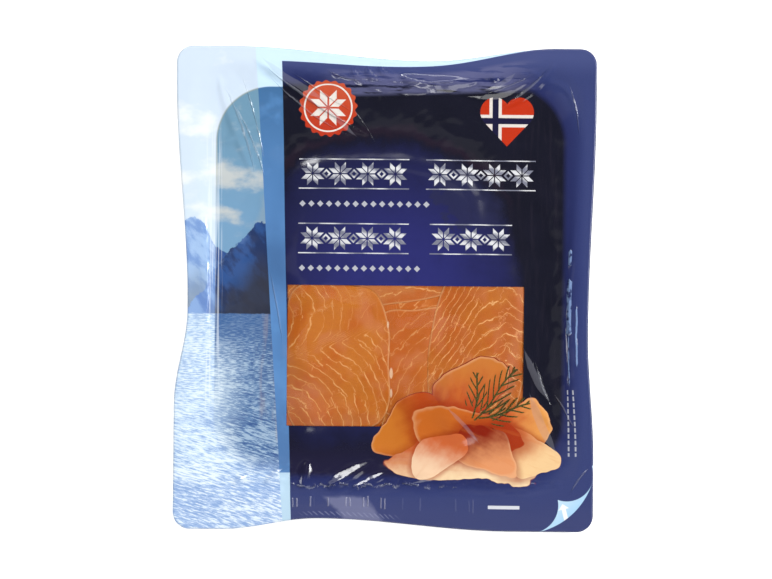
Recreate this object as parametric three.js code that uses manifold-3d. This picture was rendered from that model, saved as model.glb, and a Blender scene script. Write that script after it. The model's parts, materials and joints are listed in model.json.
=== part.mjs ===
// A flat vacuum pack of sliced smoked salmon, lying on its back with the printed face up.
// Two films are welded round the rim. Between them lie a gold card and a fan of salmon slices,
// and the air has been drawn out, so the upper film follows the fish and the rim is pulled in.
// Millimetres. X runs across the pack, +Y to its head, +Z up. The origin is the middle of the
// pack on the surface that it lies on.
import * as THREE from "three";
import { mergeVertices } from "three/addons/utils/BufferGeometryUtils.js";
import Module from "manifold-3d";

const wasm = await Module();
wasm.setup();

// Driving dimensions
const PACK = { width: 200, height: 230, corner: 8 };
const POCKET = { left: -93.5, right: 93, bottom: -98, top: 107, corner: 17 };
const CARD = { left: -81, right: 84, bottom: -88, top: 96, corner: 26, thickness: 0.8 };
const FILM = 0.4;
const GAP = 0.3;
const RIM = { height: 4.2, cornerLift: 1.1 };
const STACK = { thickness: 4.8, edge: 0.5, taper: 26 };
const SLICE = { thickness: 1.8, edge: 0.25, taper: 12 };

// How tightly a sheet follows what is under it: the sharpest hollow it bends to, as 1 / radius
const FILM_BEND = 1 / 36;
const SLICE_BEND = 1 / 22;

// Where the vacuum draws each side in: the deepest point along the side, how deep, how far the
// bow reaches to either hand, and how much the rim's outer edge rises or sinks there
const BOWS = {
  left: { at: -10, depth: 6, below: 46, above: 112, lift: -1.3 },
  right: { at: -20, depth: 3.2, below: 62, above: 110, lift: 1.4 },
  top: { at: 20, depth: 6.2, below: 92, above: 62, lift: -1.6 },
  bottom: { at: -31, depth: 5.6, below: 46, above: 92, lift: 1.6 },
};

// The slices, from the lowest to the uppermost: centre, length, width, turn from +X in degrees,
// how square the ends are, and the uneven edge's own phase
const SLICES = [
  { name: "slice_foot", x: -10, y: -25, length: 86, width: 54, turn: 6, square: 2.8, phase: 5.2 },
  { name: "slice_head", x: -5, y: 30, length: 110, width: 78, turn: 4, square: 3.2, phase: 2.1 },
  { name: "slice_middle", x: 24, y: -64, length: 58, width: 50, turn: 82, square: 2.4, phase: 1.3 },
  { name: "slice_flap", x: 18, y: -36, length: 52, width: 54, turn: -3, square: 3.6, phase: 4.4 },
  { name: "slice_right", x: 46, y: -29, length: 104, width: 48, turn: 80, square: 2.5, phase: 3.7 },
  { name: "slice_left", x: -23, y: -33, length: 72, width: 50, turn: 92, square: 4, phase: 0.4 },
];
const STACK_SHAPE = { x: 1, y: -4, length: 160, width: 136, turn: 90, square: 3.4, phase: 0.9 };
const EDGE_WAVES = [
  { lobes: 3, depth: 0.035 },
  { lobes: 5, depth: 0.022 },
  { lobes: 9, depth: 0.011 },
];
const SLICE_POINTS = 44;
const CORNER_STEPS = 9;
const SIDE_STEPS = 16;

// The lattice that every sheet is laid on: fine steps in the rim, wider ones inside, where a
// cell's longest way across is named too
const FINE = { reach: 25, step: 5 };
const COARSE = { step: 9.4, cell: 13.5 };
const MARGIN = 4;
const ROUNDS = 260;

// Colours as seen, with how rough and how metallic each surface is
const LOOKS = {
  printed_film: { color: 0x30356c, roughness: 0.22, metalness: 0 },
  clear_film: { color: 0xdfe6ea, roughness: 0.15, metalness: 0 },
  gold_card: { color: 0xb9924a, roughness: 0.35, metalness: 0.8 },
  salmon: { color: 0xd9782f, roughness: 0.4, metalness: 0 },
};

const clamp01 = (t) => Math.min(1, Math.max(0, t));
const ease = (t) => clamp01(t) ** 2 * (3 - 2 * clamp01(t));
const mix = (a, b, t) => a + (b - a) * t;

// A bump of height 1 at its peak, which reaches a different way to either hand
function bump(t, bow) {
  const reach = t < bow.at ? bow.below : bow.above;
  return 0.5 * (1 + Math.cos(Math.PI * clamp01(Math.abs(t - bow.at) / reach)));
}

// How far outside a rounded rectangle a point lies, negative inside
function outside(x, y, box) {
  const halfX = (box.right - box.left) / 2;
  const halfY = (box.top - box.bottom) / 2;
  const dx = Math.abs(x - (box.left + box.right) / 2) - halfX + box.corner;
  const dy = Math.abs(y - (box.bottom + box.top) / 2) - halfY + box.corner;
  return Math.hypot(Math.max(dx, 0), Math.max(dy, 0)) + Math.min(Math.max(dx, dy), 0) - box.corner;
}

// How much of each side's bow is felt at a point: all of it in the rim, none over the card
function shares(x, y) {
  return {
    left: ease((CARD.left - x) / (CARD.left - POCKET.left)) * bump(y, BOWS.left),
    right: ease((x - CARD.right) / (POCKET.right - CARD.right)) * bump(y, BOWS.right),
    top: ease((y - CARD.top) / (POCKET.top - CARD.top)) * bump(x, BOWS.top),
    bottom: ease((POCKET.bottom - y) / (PACK.height / 2 + POCKET.bottom)) * bump(x, BOWS.bottom),
  };
}

// Where the vacuum has moved a point of the flat film to
function drawnIn(x, y) {
  const share = shares(x, y);
  return [
    x + share.left * BOWS.left.depth - share.right * BOWS.right.depth,
    y - share.top * BOWS.top.depth + share.bottom * BOWS.bottom.depth,
  ];
}

function rimHeight(x, y) {
  const share = shares(x, y);
  const corner = (Math.abs((2 * x) / PACK.width) * Math.abs((2 * y) / PACK.height)) ** 4;
  let height = RIM.height + RIM.cornerLift * corner;
  for (const side in BOWS) height += BOWS[side].lift * share[side];
  return height;
}

// The outer face of the lower film: flat under the card, then up the pocket's wall to the rim
function lowerFilm(x, y) {
  const [movedX, movedY] = drawnIn(x, y);
  const fromCard = outside(x, y, CARD) - FINE.step;
  const toRim = -outside(2 * x - movedX, 2 * y - movedY, POCKET);
  const climb = fromCard <= 0 ? 0 : fromCard / (fromCard + Math.max(toRim, 0));
  return rimHeight(x, y) * ease(climb);
}

// Lattice lines from -half to half
function lines(half) {
  const fine = Math.round(FINE.reach / FINE.step);
  const inner = half - FINE.reach;
  const coarse = Math.round((2 * inner) / COARSE.step);
  const found = [-half - MARGIN];
  for (let i = 0; i < fine; i++) found.push(-half + (i * FINE.reach) / fine);
  for (let i = 0; i < coarse; i++) found.push(-inner + (i * 2 * inner) / coarse);
  for (let i = 0; i <= fine; i++) found.push(inner + (i * FINE.reach) / fine);
  found.push(half + MARGIN);
  return found;
}

const xs = lines(PACK.width / 2);
const ys = lines(PACK.height / 2);
const at = (i, j) => j * xs.length + i;

function field(height) {
  return ys.flatMap((y) => xs.map((x) => height(x, y)));
}

const raised = (heights, by) => heights.map((z) => z + by);

// A sheet laid over heights and pulled down on them: it touches what stands up, and spans the
// hollows in curves no sharper than bend. Found by relaxing the lattice again and again.
function drape(heights, bend) {
  const z = heights.slice();
  for (let round = 0; round < ROUNDS; round++) {
    for (let j = 1; j < ys.length - 1; j++) {
      for (let i = 1; i < xs.length - 1; i++) {
        const [west, east] = [xs[i] - xs[i - 1], xs[i + 1] - xs[i]];
        const [south, north] = [ys[j] - ys[j - 1], ys[j + 1] - ys[j]];
        const across = (z[at(i - 1, j)] / west + z[at(i + 1, j)] / east) / (west + east);
        const along = (z[at(i, j - 1)] / south + z[at(i, j + 1)] / north) / (south + north);
        const level = (across + along - bend / 2) / (1 / (west * east) + 1 / (south * north));
        z[at(i, j)] = Math.max(heights[at(i, j)], level);
      }
    }
  }
  return z;
}

// The closed solid between two height fields on the lattice
function slab(lower, upper) {
  const points = [];
  for (const heights of [lower, upper])
    ys.forEach((y, j) => xs.forEach((x, i) => points.push(x, y, heights[at(i, j)])));
  const top = xs.length * ys.length;
  const faces = [];
  const quad = (a, b, c, d) => faces.push(a, b, c, a, c, d);
  const [lastX, lastY] = [xs.length - 1, ys.length - 1];
  for (let j = 0; j < lastY; j++) {
    for (let i = 0; i < lastX; i++) {
      const corners = [at(i, j), at(i + 1, j), at(i + 1, j + 1), at(i, j + 1)];
      const [a, b, c, d] = corners;
      quad(top + a, top + b, top + c, top + d);
      faces.push(a, c, b, a, d, c);
    }
  }
  for (let i = 0; i < lastX; i++) {
    quad(at(i, 0), at(i + 1, 0), top + at(i + 1, 0), top + at(i, 0));
    quad(at(i + 1, lastY), at(i, lastY), top + at(i, lastY), top + at(i + 1, lastY));
  }
  for (let j = 0; j < lastY; j++) {
    quad(at(0, j + 1), at(0, j), top + at(0, j), top + at(0, j + 1));
    quad(at(lastX, j), at(lastX, j + 1), top + at(lastX, j + 1), top + at(lastX, j));
  }
  return solid(new Float32Array(points), new Uint32Array(faces));
}

function solid(vertProperties, triVerts) {
  return new wasm.Manifold(new wasm.Mesh({ numProp: 3, vertProperties, triVerts }));
}

// An outline drawn up into a prism that is tall enough to trim any sheet
function prism(outline) {
  const depth = 60;
  const flat = new THREE.ExtrudeGeometry(new THREE.Shape(outline), { depth, bevelEnabled: false });
  flat.translate(0, 0, -depth / 2);
  flat.deleteAttribute("normal");
  flat.deleteAttribute("uv");
  const merged = mergeVertices(flat, 1e-3);
  return solid(merged.attributes.position.array, new Uint32Array(merged.index.array));
}

function geometryOf(manifold) {
  const mesh = manifold.getMesh();
  const geometry = new THREE.BufferGeometry();
  geometry.setAttribute("position", new THREE.BufferAttribute(mesh.vertProperties, 3));
  geometry.setIndex(new THREE.BufferAttribute(mesh.triVerts, 1));
  geometry.computeVertexNormals();
  return geometry;
}

function node(name, look, geometry) {
  const mesh = new THREE.Mesh(geometry, new THREE.MeshStandardMaterial(LOOKS[look]));
  mesh.name = name;
  return mesh;
}

// The pack's outline: a rounded rectangle, moved as the vacuum moved the flat film
function packOutline() {
  const { width, height, corner } = PACK;
  const [reachX, reachY] = [width / 2 - corner, height / 2 - corner];
  const points = [];
  const turns = [[1, 1], [-1, 1], [-1, -1], [1, -1]];
  turns.forEach(([signX, signY], quarter) => {
    for (let k = 0; k <= CORNER_STEPS; k++) {
      const angle = ((quarter + k / CORNER_STEPS) * Math.PI) / 2;
      const x = signX * reachX + corner * Math.cos(angle);
      points.push([x, signY * reachY + corner * Math.sin(angle)]);
    }
    const [x0, y0] = points.at(-1);
    const [nextX, nextY] = turns[(quarter + 1) % 4];
    const end = quarter % 2 ? [x0, nextY * reachY] : [nextX * reachX, y0];
    for (let k = 1; k < SIDE_STEPS; k++) {
      points.push([mix(x0, end[0], k / SIDE_STEPS), mix(y0, end[1], k / SIDE_STEPS)]);
    }
  });
  return points.map(([x, y]) => new THREE.Vector2(...drawnIn(x, y)));
}

// A slice's outline: a squared oval with a cut edge that wanders a little
function sliceOutline(shape) {
  const turn = THREE.MathUtils.degToRad(shape.turn);
  const points = [];
  for (let k = 0; k < SLICE_POINTS; k++) {
    const angle = (k / SLICE_POINTS) * 2 * Math.PI;
    const [cos, sin] = [Math.cos(angle), Math.sin(angle)];
    let reach = 1 / (Math.abs(cos) ** shape.square + Math.abs(sin) ** shape.square) ** (1 / shape.square);
    EDGE_WAVES.forEach(({ lobes, depth }, n) => {
      reach *= 1 + depth * Math.sin(lobes * angle + shape.phase * (n + 1));
    });
    const point = new THREE.Vector2((reach * cos * shape.length) / 2, (reach * sin * shape.width) / 2);
    points.push(point.rotateAround(new THREE.Vector2(), turn).add(new THREE.Vector2(shape.x, shape.y)));
  }
  return points;
}

// How far inside an outline a point lies, negative outside
function inside(x, y, outline) {
  let nearest = Infinity;
  let within = false;
  outline.forEach((a, k) => {
    const b = outline[(k + 1) % outline.length];
    const [ex, ey] = [b.x - a.x, b.y - a.y];
    const t = clamp01(((x - a.x) * ex + (y - a.y) * ey) / (ex * ex + ey * ey));
    nearest = Math.min(nearest, Math.hypot(x - a.x - t * ex, y - a.y - t * ey));
    if (a.y > y !== b.y > y && x < a.x + ((y - a.y) * ex) / ey) within = !within;
  });
  return within ? nearest : -nearest;
}

// Lays one piece of fish on what is there, and raises the ground for the next one.
// The last cell that its edge crosses counts as covered, so that nothing cuts through a corner.
function lay(name, ground, shape, size) {
  const outline = sliceOutline(shape);
  const depths = field((x, y) => inside(x, y, outline));
  const lower = raised(drape(ground, SLICE_BEND), GAP);
  const upper = lower.map((z, k) => z + mix(size.edge, size.thickness, ease(depths[k] / size.taper)));
  depths.forEach((depth, k) => {
    if (depth > -COARSE.cell) ground[k] = Math.max(ground[k], upper[k]);
  });
  return node(name, "salmon", geometryOf(slab(lower, upper).intersect(prism(outline))));
}

function roundedBox(box, thickness) {
  const { left, right, bottom, top, corner } = box;
  const shape = new THREE.Shape();
  shape.absarc(right - corner, top - corner, corner, 0, Math.PI / 2);
  shape.absarc(left + corner, top - corner, corner, Math.PI / 2, Math.PI);
  shape.absarc(left + corner, bottom + corner, corner, Math.PI, 1.5 * Math.PI);
  shape.absarc(right - corner, bottom + corner, corner, 1.5 * Math.PI, 2 * Math.PI);
  return new THREE.ExtrudeGeometry(shape, { depth: thickness, bevelEnabled: false, curveSegments: 12 });
}

const pack = new THREE.Group();
const rimPrism = prism(packOutline());

const lower = field(lowerFilm);
pack.add(node("lower_film", "clear_film", geometryOf(slab(lower, raised(lower, FILM)).intersect(rimPrism))));

const card = node("card", "gold_card", roundedBox(CARD, CARD.thickness));
card.position.z = FILM + GAP;
pack.add(card);

const cardTop = card.position.z + CARD.thickness;
const cardHeights = field((x, y) => (outside(x, y, CARD) < FINE.step * Math.SQRT2 ? cardTop : 0));
const ground = raised(lower, FILM).map((z, k) => Math.max(z, cardHeights[k]));
pack.add(lay("slices_below", ground, STACK_SHAPE, STACK));
for (const slice of SLICES) pack.add(lay(slice.name, ground, slice, SLICE));

const upper = raised(drape(ground, FILM_BEND), GAP);
pack.add(node("upper_film", "printed_film", geometryOf(slab(upper, raised(upper, FILM)).intersect(rimPrism))));

export default pack;
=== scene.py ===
# %% [markdown]
# # A vacuum pack of smoked salmon
# The pack lies on its back and is seen from straight above. A printed film is welded to a clear
# one round the rim, and between them lie a gold card with a black face and a stack of salmon
# slices. Once the air is out, the films cling to what is inside. So the contents are built
# first, and the printed film is then laid over them. All lengths are in millimetres until a
# mesh is made.

import json
import math
from collections import namedtuple
from functools import reduce

import bpy
import numpy as np
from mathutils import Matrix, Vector

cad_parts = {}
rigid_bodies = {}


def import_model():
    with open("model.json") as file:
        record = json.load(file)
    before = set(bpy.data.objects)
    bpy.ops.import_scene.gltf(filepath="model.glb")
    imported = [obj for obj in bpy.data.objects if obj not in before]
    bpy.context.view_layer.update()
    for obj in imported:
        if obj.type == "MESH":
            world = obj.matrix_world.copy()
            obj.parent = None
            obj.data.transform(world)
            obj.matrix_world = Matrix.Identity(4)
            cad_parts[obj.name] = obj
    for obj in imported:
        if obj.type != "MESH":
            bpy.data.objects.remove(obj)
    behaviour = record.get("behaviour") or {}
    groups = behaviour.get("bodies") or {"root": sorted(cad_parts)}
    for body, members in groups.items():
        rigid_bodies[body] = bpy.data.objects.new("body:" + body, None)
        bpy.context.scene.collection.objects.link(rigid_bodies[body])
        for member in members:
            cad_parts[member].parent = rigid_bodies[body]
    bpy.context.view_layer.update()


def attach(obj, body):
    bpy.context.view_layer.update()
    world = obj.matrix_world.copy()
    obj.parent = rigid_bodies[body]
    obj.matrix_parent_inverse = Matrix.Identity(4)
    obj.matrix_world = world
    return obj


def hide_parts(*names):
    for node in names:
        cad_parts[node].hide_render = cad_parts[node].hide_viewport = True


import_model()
scene = bpy.context.scene

# %% [markdown]
# ## Sizes
# The same sizes as the solids have. The vacuum draws each side of the rim in, by a different
# amount and furthest at its own place along the side, so each side has its own bow.

# %% Sizes of the pack
PACK = {"left": -100, "right": 100, "bottom": -115, "top": 115, "corner": 8}
POCKET = {"left": -93.5, "right": 93, "bottom": -98, "top": 107, "corner": 17}
CARD = {"left": -81, "right": 84, "bottom": -88, "top": 96, "corner": 26}
CARD_FACE = 1.5
BOWS = {
    "left": {"at": -10, "depth": 6, "below": 46, "above": 112, "lift": -1.3},
    "right": {"at": -20, "depth": 3.2, "below": 62, "above": 110, "lift": 1.4},
    "top": {"at": 20, "depth": 6.2, "below": 92, "above": 62, "lift": -1.6},
    "bottom": {"at": -31, "depth": 5.6, "below": 46, "above": 92, "lift": 1.6},
}
print("flat, the pack is", PACK["right"] - PACK["left"], "by", PACK["top"] - PACK["bottom"], "mm")

# %% [markdown]
# How far a side has moved in is a smooth hump along it, which fades from the rim inwards. The
# height of the rim follows the same humps, so one function shares them out for both.


# %% Drawing the sides in
def ease(t):
    """0 up to 0, 1 from 1 on, and a smooth rise between."""
    t = np.clip(t, 0, 1)
    return t * t * (3 - 2 * t)


def bump(t, bow):
    """A hump of height 1 at its peak, which reaches a different way to either hand."""
    reach = np.where(t < bow["at"], bow["below"], bow["above"])
    return 0.5 * (1 + np.cos(np.pi * np.clip(np.abs(t - bow["at"]) / reach, 0, 1)))


def outside(x, y, box):
    """How far outside a rounded rectangle a point lies, negative inside."""
    dx = np.abs(x - (box["left"] + box["right"]) / 2) - (box["right"] - box["left"]) / 2
    dy = np.abs(y - (box["bottom"] + box["top"]) / 2) - (box["top"] - box["bottom"]) / 2
    dx = dx + box["corner"]
    dy = dy + box["corner"]
    flat = np.minimum(np.maximum(dx, dy), 0)
    return np.hypot(np.maximum(dx, 0), np.maximum(dy, 0)) + flat - box["corner"]


def shares(x, y):
    """How much of each side's bow is felt at a point: all of it in the rim, none over the card."""
    pulls = {
        "left": (CARD["left"] - x) / (CARD["left"] - POCKET["left"]),
        "right": (x - CARD["right"]) / (POCKET["right"] - CARD["right"]),
        "top": (y - CARD["top"]) / (POCKET["top"] - CARD["top"]),
        "bottom": (POCKET["bottom"] - y) / (POCKET["bottom"] - PACK["bottom"]),
    }
    along = {"left": y, "right": y, "top": x, "bottom": x}
    return {side: ease(pulls[side]) * bump(along[side], BOWS[side]) for side in BOWS}


def drawn_in(x, y):
    """Where the vacuum has moved a point of the flat film to."""
    share = shares(x, y)
    pull = {side: share[side] * BOWS[side]["depth"] for side in BOWS}
    return x + pull["left"] - pull["right"], y - pull["top"] + pull["bottom"]


print("the sides are drawn in by", [bow["depth"] for bow in BOWS.values()], "mm at most")

# %% [markdown]
# ## A lattice for the films
# A film is a sheet, so one grid of points a millimetre apart serves for both films and for the
# heights of all that lies under them. The grid could be shrunk to the pack's outline in many
# ways. Here its outermost points are moved on to the rounded corners, which leaves every inner
# cell square.

# %% The lattice
CELL = 1.0
flat_x, flat_y = np.meshgrid(
    np.arange(PACK["left"], PACK["right"] + CELL / 2, CELL),
    np.arange(PACK["bottom"], PACK["top"] + CELL / 2, CELL),
)
cell_x = (flat_x[:-1, :-1] + flat_x[1:, 1:]) / 2
cell_y = (flat_y[:-1, :-1] + flat_y[1:, 1:]) / 2
kept_cells = outside(cell_x, cell_y, PACK) < 0.1

cells_round = np.zeros(flat_x.shape, int)
for down in (0, 1):
    for across in (0, 1):
        rows = slice(down, down + kept_cells.shape[0])
        columns = slice(across, across + kept_cells.shape[1])
        cells_round[rows, columns] += kept_cells
straight_x = PACK["right"] - PACK["corner"]
straight_y = PACK["top"] - PACK["corner"]
from_x = np.abs(flat_x) - straight_x
from_y = np.abs(flat_y) - straight_y
on_corner = (from_x > 0) & (from_y > 0) & (cells_round > 0) & (cells_round < 4)
stretch = np.where(on_corner, PACK["corner"] / np.maximum(np.hypot(from_x, from_y), 0.1), 1)
flat_x = np.where(on_corner, np.sign(flat_x) * (straight_x + from_x * stretch), flat_x)
flat_y = np.where(on_corner, np.sign(flat_y) * (straight_y + from_y * stretch), flat_y)
film_x, film_y = drawn_in(flat_x, flat_y)
print("lattice of", flat_x.shape[1], "by", flat_x.shape[0], "points,", kept_cells.sum(), "cells")

# %% [markdown]
# ## Draping
# A sheet pulled down on something touches what stands up and spans the hollows in smooth
# curves. Cloth simulation would give that too, but relaxing the grid is quicker and always gives
# the same answer: each point goes to the mean of its neighbours, less a little for the pull,
# and never below the ground.


# %% Draping a sheet over heights
INNER = (slice(1, -1), slice(1, -1))


def mean_of_neighbours(z):
    return (z[:-2, 1:-1] + z[2:, 1:-1] + z[1:-1, :-2] + z[1:-1, 2:]) / 4


def drape(ground, bend, rounds=900):
    z = ground.copy()
    for _ in range(rounds):
        z[INNER] = np.maximum(ground[INNER], mean_of_neighbours(z) - bend * CELL * CELL / 4)
    return z


def softened(heights, rounds):
    """The same heights with their kinks rounded off."""
    z = heights.copy()
    for _ in range(rounds):
        z[INNER] = (z[INNER] + mean_of_neighbours(z)) / 2
    return z


def read_height(heights, x, y):
    """The height of a lattice field at any point, between the lattice's own points."""
    column = np.clip((x - PACK["left"]) / CELL, 0, heights.shape[1] - 1.001)
    row = np.clip((y - PACK["bottom"]) / CELL, 0, heights.shape[0] - 1.001)
    i, j = column.astype(int), row.astype(int)
    u, v = column - i, row - j
    low = heights[j, i] * (1 - u) + heights[j, i + 1] * u
    high = heights[j + 1, i] * (1 - u) + heights[j + 1, i + 1] * u
    return low * (1 - v) + high * v


post = np.where(np.hypot(flat_x, flat_y) < 2, 10.0, 0.0)
beside = read_height(drape(post, 0.0, rounds=100), np.array(5.0), np.array(0.0))
print("5 mm from a post 10 mm high, the sheet is", round(float(beside), 1), "mm up")

# %% [markdown]
# ## The lower film and the card
# The lower film is flat under the card, then climbs the pocket's wall to the rim, which the
# vacuum has left a little wavy.

# %% Heights of the lower film
RIM = {"height": 4.2, "corner_lift": 1.1}
FLAT_ROUND_CARD = 5
CARD_MARGIN = 0.4
FILM_SKIN = 0.12


def rim_height(x, y):
    share = shares(x, y)
    corner = (np.abs(x / PACK["right"]) * np.abs(y / PACK["top"])) ** 4
    lift = sum(BOWS[side]["lift"] * share[side] for side in BOWS)
    return RIM["height"] + RIM["corner_lift"] * corner + lift


from_card = outside(flat_x, flat_y, CARD)
to_rim = np.maximum(-outside(2 * flat_x - film_x, 2 * flat_y - film_y, POCKET), 0)
past_flat = np.maximum(from_card - FLAT_ROUND_CARD, 0)
climb = past_flat / np.maximum(past_flat + to_rim, 1e-6)
lower_film = rim_height(flat_x, flat_y) * ease(climb) + FILM_SKIN
ground = np.maximum(lower_film, np.where(from_card < CARD_MARGIN, CARD_FACE, 0))
print("rim between", lower_film[0].min().round(1), "and", lower_film.max().round(1), "mm up")

# %% [markdown]
# ## The slices
# Smoked salmon is cut very thin and laid in overlapping slices. Each is laid on what is already
# there: it sags a little into the hollows, it thins towards its edge, and its upper face becomes
# the ground for the next.

# %% Sizes of the slices
STACK = {"thickness": 4.8, "edge": 0.5, "taper": 26}
SLICE = {"thickness": 1.8, "edge": 0.25, "taper": 12}
Cut = namedtuple("Cut", "x y length width turn square phase")
STACK_CUT = Cut(1, -4, 160, 136, 90, 3.4, 0.9)
CUTS = {
    "slice_foot": Cut(-10, -25, 86, 54, 6, 2.8, 5.2),
    "slice_head": Cut(-5, 30, 110, 78, 4, 3.2, 2.1),
    "slice_middle": Cut(24, -64, 58, 50, 82, 2.4, 1.3),
    "slice_flap": Cut(18, -36, 52, 54, -3, 3.6, 4.4),
    "slice_right": Cut(46, -29, 104, 48, 80, 2.5, 3.7),
    "slice_left": Cut(-23, -33, 72, 50, 92, 4.0, 0.4),
}
EDGE_WAVES = ((3, 0.035), (5, 0.022), (9, 0.011))
EDGE_ROUNDING = 1.3
OUTLINE_POINTS = 168
SLICE_BEND = 1 / 22
GAP = 0.05
print("slices to lay:", 1 + len(CUTS))

# %% [markdown]
# A slice's outline is a squared circle with three waves along its edge. How thick the slice is
# at a point follows from how far inside that outline the point lies.


# %% Outline and thickness
def slice_outline(cut):
    """A squared oval with a cut edge that wanders a little."""
    angle = np.arange(OUTLINE_POINTS) * 2 * np.pi / OUTLINE_POINTS
    squared = np.abs(np.cos(angle)) ** cut.square + np.abs(np.sin(angle)) ** cut.square
    reach = squared ** (-1 / cut.square)
    for n, (lobes, depth) in enumerate(EDGE_WAVES):
        reach = reach * (1 + depth * np.sin(lobes * angle + cut.phase * (n + 1)))
    x = reach * np.cos(angle) * cut.length / 2
    y = reach * np.sin(angle) * cut.width / 2
    turn = math.radians(cut.turn)
    turned_x = cut.x + x * math.cos(turn) - y * math.sin(turn)
    turned_y = cut.y + x * math.sin(turn) + y * math.cos(turn)
    return np.stack([turned_x, turned_y], axis=1)


def from_segment(x, y, a, b):
    """Distance to the line from a to b, and the share of the way along it of the nearest place."""
    ex, ey = b - a
    t = np.clip(((x - a[0]) * ex + (y - a[1]) * ey) / (ex * ex + ey * ey), 0, 1)
    return np.hypot(x - a[0] - t * ex, y - a[1] - t * ey), t


def depth_inside(x, y, outline):
    """How far inside an outline a point lies, negative outside."""
    nearest = np.full(x.shape, 1e9)
    within = np.zeros(x.shape, bool)
    for a, b in zip(outline, np.roll(outline, -1, axis=0)):
        nearest = np.minimum(nearest, from_segment(x, y, a, b)[0])
        if a[1] != b[1]:
            crosses = (a[1] > y) != (b[1] > y)
            within ^= crosses & (x < a[0] + (y - a[1]) * (b[0] - a[0]) / (b[1] - a[1]))
    return np.where(within, nearest, -nearest)


def thickness_at(depth, size):
    """Full inside, thinner towards the cut, and rounded off at the cut itself."""
    body = size["edge"] + (size["thickness"] - size["edge"]) * ease(depth / size["taper"])
    return body * np.sqrt(ease(depth / EDGE_ROUNDING))


at_6_mm = float(thickness_at(6.0, SLICE))
print("6 mm in from its cut, a slice is", round(at_6_mm, 2), "mm thick")

# %% [markdown]
# Laying is one step, said once and run for each slice from the lowest up: the slice is draped
# over the ground so far, and within its outline the ground rises by its thickness.

# %% Laying the slices on the card
laid = {}


def lay(name, cut, size):
    outline = slice_outline(cut)
    depth = depth_inside(film_x, film_y, outline)
    under = drape(ground, SLICE_BEND, rounds=500) + GAP
    top = under + thickness_at(depth, size)
    np.copyto(ground, np.maximum(ground, top), where=depth > 0)
    laid[name] = {"outline": outline, "under": under, "size": size, "cut": cut}
    print(name, "reaches", round(float(top[depth > 0].max()), 1), "mm up")


card_and_films = ground.copy()
lay("slices_below", STACK_CUT, STACK)
for slice_name, slice_cut in CUTS.items():
    lay(slice_name, slice_cut, SLICE)

# %% [markdown]
# ## The printed film
# It is the same draping once more, with a tauter sheet, which spans the hollows in flatter
# curves. What makes film look like film is its creases: long stray folds that run in from the
# corners, and small pleats where the seal gathers the slack. Each could be drawn by hand as a
# wavy edge. Here it is a low tent along a curve, because two flat sides catch a lamp as one
# clean streak, as taut film does.

# %% Waves and curves
FILM_BEND = 1 / 36
FILM_GAP = 0.1
draw = np.random.default_rng(7)


def waves(wavelength, seed):
    """Smooth random waves of about this length, mostly between -1 and 1."""
    rng = np.random.default_rng(seed)
    made = np.zeros(flat_x.shape)
    for _ in range(14):
        heading = rng.uniform(0, 2 * np.pi)
        number = 2 * np.pi / (wavelength * rng.uniform(0.7, 1.6))
        bent = 0.6 * np.sin(flat_y * number * 0.4 + rng.uniform(0, 6))
        run = flat_x * np.cos(heading) + flat_y * np.sin(heading)
        made += np.sin(run * number + bent + rng.uniform(0, 6))
    return made / 5


def near_curve(x, y, points):
    """Distance to a smooth curve through three points, and how far along it the nearest place is."""
    start, via, end = (np.array(p, float) for p in points)
    handle = 2 * via - (start + end) / 2
    nearest = np.full(x.shape, 1e9)
    along = np.zeros(x.shape)
    steps = np.linspace(0, 1, 25)
    path = [(1 - t) ** 2 * start + 2 * t * (1 - t) * handle + t * t * end for t in steps]
    for k in range(len(path) - 1):
        away, t = from_segment(x, y, path[k], path[k + 1])
        closer = away < nearest
        nearest = np.where(closer, away, nearest)
        along = np.where(closer, (k + t) / (len(path) - 1), along)
    return nearest, along


def crease(points, width, steep):
    """A tent-shaped crease along a curve, whose sides slope by this many degrees."""
    points = [np.array(p, float) for p in points]
    reach = width + 4
    low = np.min(points, axis=0) - reach - 4
    high = np.max(points, axis=0) + reach + 4
    near = (film_x > low[0]) & (film_x < high[0]) & (film_y > low[1]) & (film_y < high[1])
    made = np.zeros(film_x.shape)
    away, along = near_curve(film_x[near], film_y[near], points)
    grown = width * np.sin(np.pi * np.clip(along, 0, 1)) ** 0.5
    made[near] = math.tan(math.radians(steep)) * np.maximum(grown - away, 0)
    return made


print("waves reach", np.abs(waves(11, 3)).max().round(2), "times their height")

# %% [markdown]
# These are the main creases of the real pack: three points of a curve, half the width in
# millimetres, and how many degrees the sides slope. The slope decides which lamp a crease
# mirrors, so the steep ones catch the low boxes and the gentle ones stay faint.

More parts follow.
